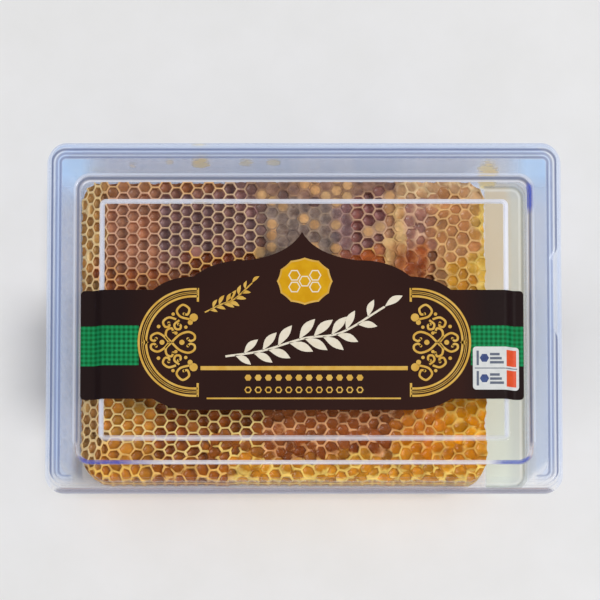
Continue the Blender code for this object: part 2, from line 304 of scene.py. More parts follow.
# Smears of honey and wax on the base's far wall: x, z, half length, half height and strength
SMEARS = (
    (-91.9, 23.0, 3.4, 4.6, 0.45),
    (-74.8, 30.5, 2.0, 3.0, 0.7),
    (-58.8, 36.0, 2.0, 3.4, 0.7),
    (-45.1, 34.0, 3.9, 9.0, 1.0),
    (-25.2, 34.0, 3.2, 5.0, 0.8),
    (-13.1, 34.0, 3.2, 5.0, 0.8),
    (80.8, 16.0, 4.6, 19.0, 1.0),
)


def peak(value, middle, half):
    """1 around middle, falling to 0 at half away from it on each side."""
    return abs(value - middle).ramp(0.35 * half, half, 1.0, 0.0)


def inset_from(x, y, half, corner, middle_y):
    """How far a point lies inside a rounded outline: below 0 outside it."""
    across = abs(x) - (half[0] - corner)
    along = abs(y - middle_y) - (half[1] - corner)
    beyond = ((across | 0.0) ** 2.0 + (along | 0.0) ** 2.0) ** 0.5
    return ((across | along) * -1.0 | 0.0) + corner - beyond


def painted_line(inset, line, mask):
    """A painted line along an outline, where the mask allows it: painted shade where its colour is dark,
    painted highlight where it is light.
    """
    middle, half, share = line
    return peak(inset, middle, half) * share * mask


def smears(s, x, y, z):
    """Where the far wall is smeared, and the smears' colour."""
    ragged = s.noise(210.0, 3.0, 0.6).ramp(0.3, 0.7, -0.7, 0.7)
    whole = 0.0
    for middle_x, middle_z, half_x, half_z, strength in SMEARS:
        reach = abs((x - middle_x) / half_x) ** 2.0 + abs((z - middle_z) / half_z) ** 2.0 + ragged
        whole = reach.ramp(1.4, 0.5, 0.0, strength) | whole
    far_wall = y.ramp(65.5, 67.0) * z.ramp(45.5, 44.0)
    return whole * far_wall, s.blend(s.noise(150.0).ramp(0.35, 0.65), (232, 208, 146), (226, 214, 162))


class Veil:
    """The share and colour that the clear plastic shows, built up layer on layer: its milky body, smears on
    it, and painted highlights, shade lines and reflections.
    """

    def __init__(self, s, share, colour):
        self.s, self.share, self.colour = s, share, colour

    def tint(self, mask, colour):
        self.colour = self.s.blend(mask, self.colour, colour)

    def lay(self, mask, colour, share=1.0):
        self.tint(mask, colour)
        self.share = self.share | mask * share


def clear_plastic():
    """Thin clear plastic: see-through face on, pale blue and milky along its walls and on the rim, and
    glowing faintly
    in its own colour: painted light. The lid's bent edges carry white painted highlights, its recess's
    corners painted blue reflections, and painted shade and highlight lines follow the rim, the recess's
    edge and the floor's edge. The near wall stays clear."""
    # Emission_Strength makes the plastic glow faintly in its veil colour: painted light.
    s = Shader("clear_plastic", Roughness=0.15, IOR=1.5, Emission_Strength=0.16)
    x, y, z = s.place()
    far_x = abs(x)
    on_lid = z.ramp(44, 44.6)
    recess = inset_from(x, y, *RECESS)
    outer = recess.ramp(-0.5, -2)
    panel = on_lid * (1.0 - outer)
    top = z.ramp(49.4, 49.6)
    side = far_x.ramp(90, 99)
    away = y.ramp(-64, -60) | far_x.ramp(99, 101) * y.ramp(-76, -70)
    hem = far_x.ramp(108.5, 110.5) | y.ramp(74.4, 76.4)
    near_top = y.ramp(-70.5, -72.5) * far_x.ramp(106, 102) * z.ramp(47, 48)
    near = y.ramp(-61.5, -65) * z.ramp(48, 47) | near_top
    sides = outer * z.ramp(48.7, 48.5) * away

    # How far a face turns from the eye, and from level
    facing = Number(s, s.node("ShaderNodeLayerWeight", Blend=0.5).outputs["Facing"])
    turn = s.node("ShaderNodeSeparateXYZ")
    s.link(s.node("ShaderNodeNewGeometry").outputs["Normal"], turn.inputs["Vector"])
    level = abs(Number(s, turn.outputs["Z"]))
    bent = level.ramp(0.985, 0.955)
    upright = level.ramp(0.5, 0.3) * facing.ramp(0.6, 0.4)
    along = facing.ramp(0.3, 0.9, 0, 0.5) * bent.ramp(0, 1, 0.3, 1)
    along = (along | sides * upright.ramp(0, 1, 0.16, 0.05)) * near.fade(0.02)
    # The panel's bent edges turn milky white: a painted highlight, which faint weakens towards the panel's
    # far left, on the recess's left wall and near the seal.
    faint = (y - x).ramp(20, 60) * z.ramp(47.4, 48.2) | far_x.ramp(95.5, 96.5) * x.ramp(0, -10)
    faint = faint | x.ramp(70, 84) * y.ramp(-24, -38) * y.ramp(-60, -57) * 0.8
    edge = panel * bent * facing.ramp(0.12, 0.45, 0, 0.78) * faint.fade(0.4)
    pale = s.blend(s.noise(60.0).ramp(0.3, 0.7), (192, 206, 234), (214, 224, 242))
    veil = Veil(s, along | edge | hem * 0.3, s.blend(panel, pale, (244, 244, 250)))

    # The shoulder: a bluer rim, a paler strip inside it, bluest at the far corners
    inset = inset_from(x, y, *RIM_OUTLINE)
    shoulder = outer * top * away
    corner = far_x.ramp(84, 97) * y.ramp(44, 62)
    strip_colour = s.blend(side, (180, 190, 212), (188, 204, 232))
    veil.tint(shoulder, s.blend(corner, strip_colour, (168, 210, 255)))
    veil.share = veil.share | shoulder * side.ramp(0, 1, 0.14, 0.32) | shoulder * corner * 0.5
    rim_colour = s.blend(x.ramp(-90, -108), (196, 210, 236), (178, 202, 244))
    veil.lay(shoulder * inset.ramp(RIM_WIDTH, RIM_WIDTH - 0.8), rim_colour, 0.46)
    # Three painted shade lines follow the rim's outline.
    for line in RIM_SHADE_LINES:
        veil.lay(painted_line(inset, line, top * away), (74, 84, 124))

    # The near skirt: grey lilac, with a painted shade line below its middle and a pale painted highlight
    # along its lower edge
    streaks = s.noise(160.0, 2.0, 0.5, (0.35, 1.0, 2.0)).ramp(0.35, 0.7, 0, 0.6)
    lilac = s.blend(z.ramp(45.8, 48), (128, 122, 144), (158, 136, 138))
    lilac = s.blend(streaks, lilac, (158, 166, 188))
    lilac = s.blend(peak(z, 44, 1.6), lilac, (98, 92, 122))
    lilac = s.blend(z.ramp(41.2, 40.5), lilac, (186, 188, 198))
    veil.lay(y.ramp(-75.7, -76.4) * z.ramp(48.8, 48.2), lilac, 0.72)

    # The recess's upper edge: a painted highlight line outside a painted shade line, and painted blue
    # reflections at three of its corners
    past_comb = y.ramp(-60, -56)
    veil.lay(painted_line(recess, RECESS_HIGHLIGHT_LINE, top * past_comb), (226, 232, 248))
    veil.lay(painted_line(recess, RECESS_SHADE_LINE, z.ramp(46.6, 47.4) * past_comb), (92, 104, 134))
    near_blue_glint = y.ramp(-61.8, -63.2) * on_lid * (x.ramp(-62, -80) | x.ramp(80, 86))
    right_blue_glint = x.ramp(96.2, 97) * y.ramp(44.5, 48.5) * y.ramp(59.2, 57)
    veil.tint((near_blue_glint | right_blue_glint) * panel, (74, 96, 200))

    # Smears on the far wall, and the floor and its edge where the comb leaves them bare. The bare floor
    # gets a pale film, partly honey and partly painted light against the comb's shadow, with a painted
    # shade line and a painted highlight line along its edge
    veil.lay(*smears(s, x, y, z), 0.8)
    gap = x.ramp(79, 80) * z.ramp(3, 2) * far_x.ramp(98.5, 97.5)
    gap_colour = s.blend(y.ramp(30, -45), (206, 194, 170), (212, 220, 210))
    veil.lay(gap, s.blend(x.ramp(88.5, 92, 0, 0.7), gap_colour, (194, 200, 196)), 0.6)
    floor_edge = inset_from(x, y, *FLOOR)
    veil.lay(painted_line(floor_edge, FLOOR_SHADE_LINE, gap), (118, 130, 128))
    veil.lay(painted_line(floor_edge, FLOOR_HIGHLIGHT_LINE, gap), (236, 240, 236))
    # The veil's colour also feeds the emission, so the milky parts and painted lines glow faintly: painted
    # light.
    s.feed(Base_Color=veil.colour, Emission_Color=veil.colour)

    window = s.node("ShaderNodeBsdfTransparent")
    edge_on = (facing.ramp(0.2, 0.9) | sides * 0.6) * near.fade(0.1)
    s.link(s.blend(edge_on, (255, 255, 255), (232, 239, 252)), window.inputs["Color"])
    milky = s.mix(veil.share, window.outputs["BSDF"], s.bsdf.outputs["BSDF"])
    gloss = s.node("ShaderNodeBsdfGlossy", Roughness=0.06, Color=(1.0, 1.0, 1.0, 1.0))
    shine = Number(s, s.node("ShaderNodeFresnel", IOR=1.42).outputs["Fac"])
    whole = s.mix(shine.ramp(0.03, 1, 0.004, 0.4) * near.fade(0.1), milky, gloss.outputs["BSDF"])
    s.link(whole, s.tree.nodes["Material Output"].inputs["Surface"])
    return s.material


def comb_wax():
    """Wax rims over cells whose insides take the colour of what they hold."""
    s = Shader("comb_wax", IOR=1.45, Specular_IOR_Level=0.22)
    fine = s.noise(900.0, 4.0)
    share = (fine.ramp(0.3, 0.7, -0.12, 0.12) + s.attribute("sunk")).ramp(0.22, 0.62)
    colour = s.blend(share, s.attribute("rim_colour", "Color"), s.attribute("inside_colour", "Color"))
    colour = s.blend(fine.ramp(0.35, 0.7, 0.0, 0.35), colour, (255.0, 238.6, 206.4), "SOFT_LIGHT")
    mottled = s.blend(s.noise(160.0).ramp(0.35, 0.75, 0.0, 0.3), colour, (120, 70, 40), "MULTIPLY")
    s.feed(Base_Color=mottled, Roughness=s.attribute("wet").ramp(0.0, 1.0, 0.5, 0.14))
    s.bump(fine, 0.35, 0.0004)
    return s.material


def label_film():
    s = Shader("label_film", Specular_IOR_Level=0.12)
    grain = s.noise(700.0)
    dark = s.blend(s.noise(14.0, 1.0).ramp(0.3, 0.7), (40, 17, 13), (52, 24, 17))
    colour = s.blend(abs(s.place()[0]).ramp(68.0, 80.0), dark, (30, 15, 15))
    s.feed(Base_Color=colour, Roughness=grain.ramp(0.3, 0.7, 0.42, 0.55))
    s.bump(grain, 0.06, 0.0002)
    return s.material


def gold_print(name, first, second):
    s = Shader(name, Metallic=0.1, Specular_IOR_Level=0.2)
    drift = s.noise(220.0, 2.0)
    colour = s.blend(drift.ramp(0.35, 0.65), first, second)
    s.feed(Base_Color=colour, Roughness=drift.ramp(0.3, 0.7, 0.34, 0.5))
    return s.material


def green_check():
    """Woven check: light lines both ways over a darker green, brighter where they cross."""
    s = Shader("green_check", Roughness=0.5, Specular_IOR_Level=0.12)
    across, up = ((place * (2 * math.pi / CHECK_PITCH)).sine().ramp(-0.6, 0.7) for place in s.place()[:2])
    base = s.blend((across + up) * 0.5, (0, 88, 42), (26, 158, 96))
    s.feed(Base_Color=s.blend(s.noise(90.0, 2.0).ramp(0.3, 0.7, 0.0, 0.4), base, (4, 112, 54)))
    return s.material


def paper(name, first, second):
    s = Shader(name, Roughness=0.5)
    grain = s.noise(500.0)
    s.feed(Base_Color=s.blend(grain.ramp(0.3, 0.7), first, second))
    s.bump(grain, 0.05, 0.0002)
    return s.material


# Clear box


def arc(centre_x, centre_y, radius, start, sweep, steps):
    """Points along an arc, with its angles in degrees."""
    angles = [math.radians(start + sweep * step / steps) for step in range(steps + 1)]
    return [(centre_x + radius * math.cos(a), centre_y + radius * math.sin(a)) for a in angles]


def rounded_outline(half_x, half_y, radii, steps=CORNER_STEPS, side_points=(), scoop=0.0):
    """Corners as arcs, anticlockwise from the lower right, with one radius or four, and side_points
    (y, share) up the right side, each moved inwards by its share of scoop."""
    points = []
    if not isinstance(radii, tuple):
        radii = (radii,) * 4
    for radius, sign_x, sign_y, start in zip(radii, (1, 1, -1, -1), (-1, 1, 1, -1), (270, 0, 90, 180)):
        points += arc(sign_x * (half_x - radius), sign_y * (half_y - radius), radius, start, 90, steps)
        if start == 270:
            points += [(half_x - share * scoop, y) for y, share in side_points]
    return points


def arc_to(start, control, end, steps=10):
    """Points of a curved stretch after its start."""
    start, control, end = np.array((start, control, end))
    shares = [step / steps for step in range(1, steps + 1)]
    return [(1 - t) ** 2 * start + 2 * t * (1 - t) * control + t * t * end for t in shares]


def filleted(profile):
    """Rounds the corners of a profile. Each row is (half sizes, corner radius, middle y, z, scoop) and
    the length of its fillet, and all of a row's values follow the same small curve."""
    rows = []
    for index, (values, fillet) in enumerate(profile):
        here = np.array(values)
        if fillet == 0:
            rows.append(here)
            continue
        ends = []
        for beside in (index - 1, index + 1):
            way = np.array(profile[beside][0]) - here
            ends.append(here + way * fillet / math.hypot(way[0], way[4]))
        rows += [ends[0], *arc_to(ends[0], here, ends[1], FILLET_STEPS)]
    return rows


def profile_row(half, corner, middle_y, inset, z, scoop=0.0, fillet=0.0):
    values = (half[0] - inset, half[1] - inset, corner - CORNER_SHRINK * inset, middle_y, z, scoop)
    return values, fillet


def lofted_shell(name, profile, material, side_points=()):
    """A thin shell from rounded outlines, closed at its last one."""
    verts = []
    rows = filleted(profile)
    for half_x, half_y, radius, middle_y, z, scoop in rows:
        outline = rounded_outline(half_x, half_y, max(radius, 0.3), CORNER_STEPS, side_points, scoop)
        verts += [(x, y + middle_y, z) for x, y in outline]
    count = len(verts) // len(rows)
    faces = wall_faces(len(rows), count) + [tuple(range(len(verts) - count, len(verts)))]
    shell = add_mesh(name, verts, faces, material)
    modify(shell, "SOLIDIFY", thickness=WALL * MM, use_even_offset=True, use_quality_normals=True)
    shell = applied(shell, name, 35)
    shell.visible_shadow = False
    return shell


def make_lid(material):
    recess_z = BOX_HEIGHT - RECESS_DROP
    platform_z = recess_z + PLATFORM_RISE
    low, high = SCOOP_SPAN
    shares = [k / SCOOP_STEPS for k in range(SCOOP_STEPS + 1)]
    rise = [(low + SCOOP_RAMP * share, 0.5 - 0.5 * math.cos(math.pi * share)) for share in shares]
    side = rise + [(low + high - y, share) for y, share in reversed(rise)]
    shoulder = SKIRT_TAPER + SHOULDER_RADIUS
    profile = (
        profile_row(*HEM, 0.0, BOX_HEIGHT - SKIRT_HEIGHT),
        profile_row(*HEM, SKIRT_TAPER, BOX_HEIGHT - SHOULDER_RADIUS, 0.0, 1.2),
        profile_row(*HEM, shoulder, BOX_HEIGHT, SCOOP_DEPTH, 0.7),
        profile_row(*RECESS, 0.0, BOX_HEIGHT, 0.0, 1.6),
        profile_row(*RECESS, RECESS_DRAFT, recess_z, 0.0, 0.7),
        profile_row(*PLATFORM, 0.0, recess_z, 0.0, 0.4),
        profile_row(*PLATFORM, PLATFORM_BEVEL, platform_z, 0.0, 0.6),
        profile_row(*PLATFORM, PLATFORM_BEVEL + 2.0, platform_z),
    )
    belongs(lofted_shell("box_lid_clear", profile, material, side), "clear_plastic", "box_lid")


def make_base(material):
    top_z = BOX_HEIGHT - WALL - GAP
    profile = (
        profile_row(*BASE_TOP, -FLANGE, top_z - LIP_DROP),
        profile_row(*BASE_TOP, -FLANGE, top_z, 0.0, 0.5),
        profile_row(*BASE_TOP, WALL, top_z, 0.0, 0.5),
        profile_row(*FLOOR, WALL, WALL, 0.0, FLOOR_FILLET),
        profile_row(*FLOOR, WALL + 6.0, WALL),
    )
    belongs(lofted_shell("box_base_clear", profile, material), "clear_plastic", "box_base")


# Honeycomb: its form follows the solid's, by the same functions


def ease(value, low, high):
    share = min(max((value - low) / (high - low), 0.0), 1.0)
    return share * share * (3 - 2 * share)


def waver(x, y, scale, layer):
    return noise.noise(Vector((x / scale, y / scale, layer)) + COMB_SEED)


def untidiness(x, y):
    return max(ease(x, 8.0, 46.0), ease(-y, 42.0, 56.0))


def warp(x, y):
    x = max(x, SQUEEZE_X) + SQUEEZE * min(x - SQUEEZE_X, 0.0)
    reach = 0.25 + 1.75 * untidiness(x, y)
    slant = 1.3 * ease(-y, 40.0, 60.0) * waver(x, y, 30.0, 5.0)
    shift_x = reach * waver(x, y, 9.0, 1.0) + slant
    shift_y = reach * waver(x, y, 9.0, 2.0)
    return x + shift_x, y + shift_y


def comb_height(x, y):
    level = COMB_TOP + 0.9 * waver(x, y, 26.0, 3.0)
    level += untidiness(x, y) * 0.8 * waver(x, y, 6.0, 4.0)
    for (width, drop), edge in ((ROLL_LEFT, COMB_LEFT - x), (ROLL_NEAR, COMB_NEAR - y)):
        level -= drop * min(max((edge + width) / width, 0.0), 1.2) ** 2
    ridge = math.exp(-(((x - RIDGE_X) / RIDGE_WIDTH) ** 2))
    return level + RIDGE_RISE * ridge * ease(y, RIDGE_NEAR_Y - 4.0, RIDGE_NEAR_Y + 4.0)


# Areas of the comb's top face, later ones over earlier ones: left, right, near, far, screen colour of
# the walls' tops, screen colour inside the cells, depth of the cells, share torn, full and capped
AREAS = np.array((
    (-100, 100, -80, 80, 222, 172, 122, 140, 84, 54, 4.5, 0.1, 0.1, 0),
    (-90, -60, 8, 70, 222, 172, 142, 182, 128, 100, 3.4, 0, 0, 0),
    (-62, -20, 24, 70, 214, 182, 150, 160, 122, 122, 4.4, 0, 0, 0),
    (-92, -50, 8, 26, 230, 170, 116, 172, 104, 62, 4, 0, 0.1, 0),
    (-50, -12, 6, 36, 255, 196, 118, 150, 76, 36, 4.4, 0.05, 0.1, 0),
    (-92, -35, 60, 70, 232, 182, 128, 152, 98, 62, 3.4, 0.1, 0.1, 0),
    (-21, 18, 22, 58, 156, 136, 122, 108, 92, 90, 0.6, 0.7, 0.5, 0.22),
    (-25, 40, 57, 70, 150, 116, 96, 106, 80, 76, 0.5, 0.8, 0.4, 0.42),
    (13, 24, 22, 58, 168, 134, 128, 116, 88, 92, 0.7, 0.75, 0.6, 0),
    (22, 38, 26, 58, 200, 160, 134, 166, 112, 110, 4.2, 0.05, 0, 0.1),
    (16, 46, 12, 34, 238, 178, 102, 170, 90, 44, 1.6, 0.8, 0.5, 0.1),
    (36.5, 43.5, 22, 58, 220, 178, 122, 208, 160, 104, 0.05, 1, 0.6, 0),
    (43.5, 62, 32, 60, 214, 170, 142, 156, 110, 98, 1, 0.9, 0.8, 0),
    (40, 55, 12, 37, 190, 116, 68, 142, 70, 34, 0.7, 0.8, 1, 0),
    (57, 78, 8, 60, 228, 178, 120, 178, 124, 80, 1.2, 0.25, 0.9, 0),
    (62, 84, -36, 30, 244, 196, 112, 212, 148, 50, 1.2, 0.3, 0.9, 0),
    (75, 84, -72, 72, 236, 198, 102, 222, 176, 72, 0.7, 0.5, 0.9, 0),
    (40, 84, 59, 72, 228, 194, 148, 196, 154, 114, 0.8, 0.7, 0.8, 0),
    (-94, -64, -62, -28, 255, 222, 150, 212, 150, 60, 2.6, 0.2, 0.2, 0),
    (-66, -17, -60, -30, 255, 222, 144, 166, 95, 34, 4, 0.15, 0.1, 0),
    (-44, -12, -58, -48, 255, 214, 122, 162, 94, 34, 1.8, 1, 0.3, 0),
    (-17, 43, -60, -30, 236, 172, 122, 156, 86, 42, 1.2, 0.85, 1, 0),
    (42, 60, -60, -30, 246, 180, 98, 196, 114, 34, 1, 0.6, 0.9, 0),
    (59, 80, -60, -30, 248, 192, 88, 224, 142, 20, 1, 0.55, 0.9, 0),
    (-94, -66, -60, -51, 244, 190, 108, 186, 120, 38, 2.6, 0.2, 0.2, 0),
    (-12, 43, -60, -51, 210, 145, 92, 127, 63, 20, 1.2, 0.85, 1, 0),
    (42, 80, -60, -51, 236, 174, 80, 198, 118, 14, 1, 0.6, 0.9, 0),
    (-94, -66, -72, -59, 246, 194, 98, 184, 118, 36, 2, 0.2, 0.3, 0),
    (-66, -30, -72, -59, 244, 188, 104, 160, 92, 26, 2.2, 0.5, 0.4, 0),
    (-30, 84, -72, -58, 255, 212, 110, 206, 138, 36, 1.1, 1, 0.7, 0),
    (-100, -88, -62, 68, 236, 204, 148, 186, 140, 80, 2.8, 0.1, 0.2, 0),
))
AREAS[:, 4:10] = linear(AREAS[:, 4:10])
AREA_LIFT = 1.2  # the areas' y values are this much more than the comb's
AREA_EDGE = 4.0
AREA_WANDER = 5.5
CELL_TINT = 0.13  # how much the cells differ in brightness
CAP_COLOUR = (204, 158, 108)


def areas_at(points):
    """The blended values of AREAS at each (x, y): rim 0:3, inside 3:6, then depth, torn, full, capped."""
    points = np.asarray(points, dtype=float)
    wander = np.array([(waver(x, y, 9.0, 20.0), waver(x, y, 9.0, 21.0)) for x, y in points])
    x, y = (points + AREA_WANDER * wander + (0.0, AREA_LIFT)).T
    values = np.repeat(AREAS[:1, 4:], len(points), axis=0)
    for low_x, high_x, low_y, high_y, *row in AREAS[1:]:
        inside = np.minimum.reduce([x - low_x, high_x - x, y - low_y, high_y - y])
        share = np.clip(inside / AREA_EDGE + 0.5, 0.0, 1.0)[:, None]
        values = values * (1 - share) + np.array(row) * share
    return values


def on_lattice(column, row):
    """The place of a lattice point, whose column and row count cells."""
    pivot_x, pivot_y = LATTICE_PIVOT
    x = column * CELL_COLUMN + LATTICE_SHIFT[0] - pivot_x
    y = row * CELL_PITCH + LATTICE_SHIFT[1] - pivot_y
    cos, sin = math.cos(LATTICE_TURN), math.sin(LATTICE_TURN)
    return pivot_x + x * cos - y * sin, pivot_y + x * sin + y * cos


def cell_centres():
    columns = range(math.floor(COMB_LEFT / CELL_COLUMN) - 2, math.ceil(COMB_RIGHT / CELL_COLUMN) + 3)
    rows = range(math.floor(COMB_NEAR / CELL_PITCH) - 2, math.ceil(COMB_FAR / CELL_PITCH) + 4)
    return [(i, j + 0.5 * ((i + 1) % 2)) for i in columns for j in rows]


def cell_border(column, row):
    """A cell's wall line, as its six corners and the middles of its sides."""
    steps = ((2 / 3, 0.0), (1 / 3, 0.5), (-1 / 3, 0.5), (-2 / 3, 0.0), (-1 / 3, -0.5), (1 / 3, -0.5))
    corners = np.array([on_lattice(column + across, row + up) for across, up in steps])
    middles = (corners + np.roll(corners, -1, axis=0)) / 2
    return [warp(*point) for pair in zip(corners, middles) for point in pair]


def crest(x, y, depth, torn):
    """Height of a wall's top: ragged where torn, and here and there broken down to the honey."""
    ragged = torn * (0.55 * waver(x, y, 1.7, 11.0) + 0.45 * waver(x, y, 3.1, 12.0))
    broken = torn * 1.5 * ease(waver(x, y, 4.2, 13.0), 0.12, 0.32)
    level = comb_height(x, y)
    return max(level + 0.9 * ragged - broken, level - min(depth, 1.4) + 0.02)


def cell_contents(at_middle):
    """Whether each cell is capped, full or open, and how deep it is."""
    draw = random.Random(11)
    contents = []
    for depth, torn, full, capped in at_middle[:, 6:10]:
        kind, vary = draw.random(), draw.random()
        if kind < capped:
            contents.append(("capped", -0.3, vary))
        elif kind < capped + full:
            contents.append(("full", min(depth, 0.8 + 0.6 * vary), vary))
        else:
            contents.append(("open", depth * (0.85 + 0.3 * vary), vary))
    return contents


def all_cells():
    """Every cell's border and middle, the areas' values there, and what it holds."""
    borders = np.array([cell_border(column, row) for column, row in cell_centres()])
    middles = borders.mean(axis=1)
    at_middle = areas_at(middles)
    return borders, middles, at_middle, cell_contents(at_middle)


def make_cell_sheet():
    """The top face with every cell, closed below into a solid wider than the comb."""
    borders, middles, at_middle, contents = all_cells()
    at_border = areas_at(borders.reshape(-1, 2)).reshape(len(borders), RING_POINTS, -1)
    verts = []
    faces = []
    walls = np.array(wall_faces(6, RING_POINTS))
    for border, middle, (_, depth, vary), values, torn in zip(
        borders, middles, contents, at_border, at_middle[:, 7]
    ):
        offsets = border - middle
        reaches = np.hypot(*offsets.T)
        apothem = reaches.min()
        rim = RIM * (1.0 + 0.35 * torn * (vary - 0.3))
        floor_z = comb_height(*middle) - depth
        tops = np.array([crest(x, y, *value[6:8]) for (x, y), value in zip(border, values)])
        fall = np.clip(tops - floor_z, -0.5, 1.0)
        shallow = min(max(depth, 0.0), 1.0)
        rings = (
            (0.0, tops),
            (0.45 * rim, tops - 0.03 * fall),
            (0.80 * rim, tops - 0.16 * fall),
            (rim, tops - 0.50 * fall),
            (rim + 0.10, floor_z + 0.30 * shallow),
            (rim + 0.55, floor_z + 0.06 * shallow),
        )
        faces += (walls + len(verts)).tolist()
        for inset, z in rings:
            roundness = 0.22 * min(inset / rim, 1.0)
            scale = (1 - roundness) * (1 - inset / apothem) + roundness * (apothem - inset) / reaches
            x, y = (middle + offsets * scale[:, None]).T
            verts += np.stack(np.broadcast_arrays(x, y, z), axis=1).tolist()
        tip = len(verts)
        last = tip - RING_POINTS
        faces += [(last + k, last + (k + 1) % RING_POINTS, tip) for k in range(RING_POINTS)]
        verts.append((*middle, floor_z + (0.25 if depth < 0 else 0.0)))
    sheet = add_mesh("cell_sheet", verts, faces)
    bm = bmesh.new()
    bm.from_mesh(sheet.data)
    bmesh.ops.remove_doubles(bm, verts=bm.verts, dist=0.004 * MM)
    edge = [e for e in bm.edges if e.is_boundary]
    skirt = bmesh.ops.extrude_edge_only(bm, edges=edge)["geom"]
    for vert in (v for v in skirt if isinstance(v, bmesh.types.BMVert)):
        vert.co.z = -2.0 * MM
    bmesh.ops.holes_fill(bm, edges=[e for e in bm.edges if e.is_boundary], sides=0)
    bmesh.ops.recalc_face_normals(bm, faces=bm.faces)
    bm.to_mesh(sheet.data)
    bm.free()
    return sheet


def comb_outline():
    """The cut block's outline, with points all along its sides."""
    half_x = (COMB_RIGHT - COMB_LEFT) / 2 - COMB_DRAFT + EDGE_GROW
    half_y = (COMB_FAR - COMB_NEAR) / 2 - COMB_DRAFT + EDGE_GROW
    centre = np.array((COMB_RIGHT + COMB_LEFT, COMB_FAR + COMB_NEAR)) / 2
    corners = np.array(rounded_outline(half_x, half_y, COMB_CORNERS))
    wavy = []
    for here, way in zip(corners, np.roll(corners, -1, axis=0) - corners):
        length = np.hypot(*way)
        steps = round(length / EDGE_PITCH) if length > 20.0 else 1
        for step in range(steps):
            x, y = point = here + step / steps * way
            reach = 1.3 if x > half_x - 12.0 else 0.45
            push = 1.0 + reach * (waver(x, y, 8.0, 10.0) - 0.5) / math.hypot(x, y)
            wavy.append(centre + point * push)
    return np.array(wavy)


def channel(along):
    """Depth of the opened cells along the cut sides, 0 at each wall between two of them."""
    return abs(np.sin(math.pi * along / (CELL_PITCH * 0.87))) ** 0.8


def make_block():
    """The block that the comb is cut to, with cells opened down its sides above and below its midrib."""
    outline = comb_outline()
    count = len(outline)
    after = np.roll(outline, -1, axis=0)
    along = np.concatenate([[0.0], np.cumsum(np.hypot(*(after - outline).T))[:-1]])
    run = after - np.roll(outline, 1, axis=0)
    outward = np.stack([run[:, 1], -run[:, 0]], axis=1) / np.hypot(*run.T)[:, None]
    floor_z = WALL + GAP
    low_rib, high_rib = MIDRIB_Z
    top_z = COMB_TOP + 8.0
    levels = (
        (floor_z, -2.0, 0.3),
        (floor_z + 1.4, -0.9, 0.7),
        (floor_z + 3.0, 0.0, 1.0),
        (low_rib - 1.2, 0.0, 1.0),
        (low_rib, 0.0, 0.1),
        (high_rib, 0.0, 0.1),
        (high_rib + 1.2, 0.0, 1.0),
        (top_z, 0.0, 1.0),
    )
    rough = np.array([0.55 + 0.45 * waver(x, y, 2.0, 30.0) for x, y in outline])
    depths = CHANNEL_DEPTH * channel(along) * rough
    verts = []
    for z, grow, share in levels:
        lean = (COMB_DRAFT - EDGE_GROW) * (z - floor_z) / (top_z - floor_z)
        offset = (grow + lean - share * depths)[:, None]
        verts += [(x, y, z) for x, y in outline + outward * offset]
    faces = wall_faces(len(levels), count)
    faces += [tuple(range(len(verts) - count, len(verts))), tuple(reversed(range(count)))]
    return add_mesh("honeycomb_wax", verts, faces), outline, along


def tree_of(places):
    """Finds the nearest of some (x, y) places."""
    tree = KDTree(len(places))
    for index, (x, y) in enumerate(places):
        tree.insert((x, y, 0.0), index)
    tree.balance()
    return tree


def paint_cells(points, values):
    """Gives each cell its own colour inside, and tan wax to the capped ones."""
    draw = random.Random(5)
    _, middles, at_middle, contents = all_cells()
    own = at_middle[:, 3:6]
    capped = np.array([kind == "capped" for kind, _, _ in contents])
    own[capped] = linear(CAP_COLOUR)
    for colour in own:
        warmth = CELL_TINT * draw.uniform(-0.6, 0.6)
        brightness = 1.0 + CELL_TINT * draw.uniform(-1.5, 1.5)
        colour *= brightness * np.array((1.0 + warmth, 1.0, 1.0 - warmth))
    tree = tree_of(middles)
    for index, (x, y, _) in enumerate(points):
        _, cell, _ = tree.find((x, y, 0.0))
        values[index, 3:6] = own[cell]
        if capped[cell]:
            reach = math.hypot(x - middles[cell][0], y - middles[cell][1]) / (CELL_PITCH / 2)
            share = 0.9 - 0.75 * ease(reach, 0.62, 0.95)
            values[index, 0:3] = share * own[cell] + (1.0 - share) * 0.8 * values[index, 0:3]
        torn = values[index, 7]
        patches = (0.20 + 0.16 * torn) * waver(x, y, 3.2, 50.0)
        specks = (0.14 + 0.24 * torn) * waver(x, y, 1.1, 51.0)
        values[index, 0:6] *= 1.0 + patches + specks


def vectors(mesh, name):
    flat = np.empty(len(mesh.vertices) * 3)
    mesh.vertices.foreach_get(name, flat)
    return flat.reshape(-1, 3)


